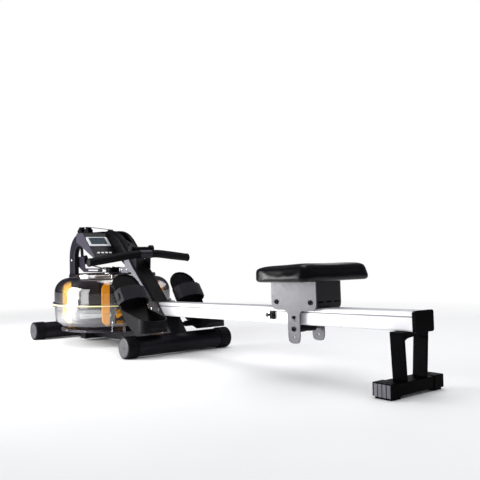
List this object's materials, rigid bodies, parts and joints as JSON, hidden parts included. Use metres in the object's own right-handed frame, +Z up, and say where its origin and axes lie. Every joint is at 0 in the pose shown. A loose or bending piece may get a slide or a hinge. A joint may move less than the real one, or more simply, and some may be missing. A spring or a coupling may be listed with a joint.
{
  "type": "water rowing machine",
  "caption": "Water rowing machine: tank with impeller, arched frame with console, handle on a belt, rolling seat on a long rail, footrests.",
  "frame": {"origin": "on the floor, at the centre of the outline box", "axes": "+X towards the seat end, +Y to the side away from the console, +Z up"},
  "size_m": [2.11, 0.548, 0.5526],
  "materials": {
    "satin_black": "satin",
    "black_plastic": "fine grain",
    "black_rubber": "matt",
    "grey_steel": "satin grey",
    "bright_steel": "polished",
    "white_rail": "gloss white",
    "smoke_tank": "smoke clear plastic",
    "clear_tank": "clear plastic",
    "amber_plastic": "translucent amber",
    "pale_seal": "soft seal",
    "silver_plastic": "silver",
    "screen": "dark display",
    "black_vinyl": "smooth black vinyl",
    "webbing": "woven strap"
  },
  "bodies": {
    "frame": {"front_foot_tube": "satin_black", "middle_foot_tube": "satin_black", "spine_beam": "satin_black", "tank_cross_bar": "satin_black", "arch_frame": "satin_black", "rail_socket": "satin_black", "middle_upright": "satin_black", "rear_leg_near": "satin_black", "rear_leg_far": "satin_black", "rear_leg_plate": "satin_black", "rear_foot_tube": "satin_black", "pulley_bracket": "satin_black", "handle_rest": "satin_black", "slope_cover": "black_plastic", "rail_end_cap": "black_plastic", "splice_block": "black_plastic", "fill_plug": "black_plastic", "console_housing": "black_plastic", "front_foot_cap_near": "black_rubber", "front_foot_cap_far": "black_rubber", "middle_foot_cap_near": "black_rubber", "middle_foot_cap_far": "black_rubber", "rear_foot_cap_near": "grey_steel", "rear_foot_cap_far": "grey_steel", "tank_base_ring": "grey_steel", "front_arm": "grey_steel", "bracket_plate": "grey_steel", "shaft_bearing": "bright_steel", "rail": "white_rail", "tank_upper_shell": "smoke_tank", "tank_lower_shell": "clear_tank", "tank_gasket": "pale_seal", "console_bezel": "silver_plastic", "console_screen": "screen", "drive_belt": "webbing"},
    "impeller": {"impeller": "amber_plastic", "impeller_shaft": "bright_steel"},
    "belt_drum": {"belt_drum": "black_plastic"},
    "front_guide": {"front_guide_pulley": "black_plastic"},
    "rear_guide": {"rear_guide_pulley": "black_plastic"},
    "lower_guide": {"lower_guide_pulley": "black_plastic"},
    "cover_roller": {"cover_roller": "black_plastic"},
    "handle": {"handle_bar": "satin_black", "handle_grip_near": "black_rubber", "handle_grip_far": "black_rubber", "handle_clamp": "black_plastic"},
    "seat": {"seat_carriage": "grey_steel", "seat_pad": "black_vinyl"},
    "seat_roller_front": {"seat_roller_front": "black_rubber"},
    "seat_roller_rear": {"seat_roller_rear": "black_rubber"},
    "seat_roller_lower": {"seat_roller_lower": "black_rubber"},
    "footrest_near": {"footrest_near": "black_rubber", "foot_strap_near": "webbing"},
    "footrest_far": {"footrest_far": "black_rubber", "foot_strap_far": "webbing"},
    "button_1": {"console_button_1": "silver_plastic"},
    "button_2": {"console_button_2": "silver_plastic"},
    "button_3": {"console_button_3": "silver_plastic"},
    "button_4": {"console_button_4": "silver_plastic"}
  },
  "joints": [
    {"name": "impeller_spin", "type": "hinge", "parent": "frame", "child": "impeller", "pos_m": [-0.671, 0, 0.19], "axis": [0, 0, 1], "continuous": true},
    {"name": "drum_spin", "type": "hinge", "parent": "frame", "child": "belt_drum", "pos_m": [-0.671, 0, 0.335], "axis": [0, 0, 1], "continuous": true},
    {"name": "front_guide_spin", "type": "hinge", "parent": "frame", "child": "front_guide", "pos_m": [-0.989, 0, 0.535], "axis": [0, 1, 0], "continuous": true},
    {"name": "rear_guide_spin", "type": "hinge", "parent": "frame", "child": "rear_guide", "pos_m": [-0.916, 0, 0.533], "axis": [0, 1, 0], "continuous": true},
    {"name": "lower_guide_spin", "type": "hinge", "parent": "frame", "child": "lower_guide", "pos_m": [-0.963, 0, 0.388], "axis": [0, 1, 0], "continuous": true},
    {"name": "cover_roller_spin", "type": "hinge", "parent": "frame", "child": "cover_roller", "pos_m": [-0.688, 0, 0.516], "axis": [0, 1, 0], "continuous": true},
    {"name": "handle_pull", "type": "slide", "parent": "frame", "child": "handle", "axis": [0.9798, 0, 0.2], "range_m": [0, 1.05], "stiffness_N_per_m": 12, "springref_m": -0.6},
    {"name": "seat_slide", "type": "slide", "parent": "frame", "child": "seat", "axis": [0.9998, 0, 0.021], "range_m": [-0.62, 0.32]},
    {"name": "front_roller_spin", "type": "hinge", "parent": "seat", "child": "seat_roller_front", "pos_m": [0.52654, 0, 0.23683], "axis": [0, 1, 0], "continuous": true},
    {"name": "rear_roller_spin", "type": "hinge", "parent": "seat", "child": "seat_roller_rear", "pos_m": [0.68051, 0, 0.24006], "axis": [0, 1, 0], "continuous": true},
    {"name": "lower_roller_spin", "type": "hinge", "parent": "seat", "child": "seat_roller_lower", "pos_m": [0.60531, 0, 0.15366], "axis": [0, 1, 0], "continuous": true},
    {"name": "footrest_near_tilt", "type": "hinge", "parent": "frame", "child": "footrest_near", "pos_m": [-0.196, -0.142, 0.108], "axis": [0, 1, 0], "range_deg": [-15, 0]},
    {"name": "footrest_far_tilt", "type": "hinge", "parent": "frame", "child": "footrest_far", "pos_m": [-0.196, 0.142, 0.108], "axis": [0, 1, 0], "range_deg": [-15, 0]},
    {"name": "button_1_press", "type": "slide", "parent": "frame", "child": "button_1", "axis": [-0.6816, 0, -0.7318], "range_m": [0, 0.0015], "stiffness_N_per_m": 400},
    {"name": "button_2_press", "type": "slide", "parent": "frame", "child": "button_2", "axis": [-0.6816, 0, -0.7318], "range_m": [0, 0.0015], "stiffness_N_per_m": 400},
    {"name": "button_3_press", "type": "slide", "parent": "frame", "child": "button_3", "axis": [-0.6816, 0, -0.7318], "range_m": [0, 0.0015], "stiffness_N_per_m": 400},
    {"name": "button_4_press", "type": "slide", "parent": "frame", "child": "button_4", "axis": [-0.6816, 0, -0.7318], "range_m": [0, 0.0015], "stiffness_N_per_m": 400}
  ],
  "couplings": [
    {"joint": "drum_spin", "follows": "handle_pull", "rad_per_m": 31.056},
    {"joint": "front_guide_spin", "follows": "handle_pull", "rad_per_m": 61.728},
    {"joint": "rear_guide_spin", "follows": "handle_pull", "rad_per_m": 61.728},
    {"joint": "lower_guide_spin", "follows": "handle_pull", "rad_per_m": 49.505},
    {"joint": "cover_roller_spin", "follows": "handle_pull", "rad_per_m": 98.039},
    {"joint": "front_roller_spin", "follows": "seat_slide", "rad_per_m": 56.18},
    {"joint": "rear_roller_spin", "follows": "seat_slide", "rad_per_m": 56.18},
    {"joint": "lower_roller_spin", "follows": "seat_slide", "rad_per_m": -83.333}
  ]
}
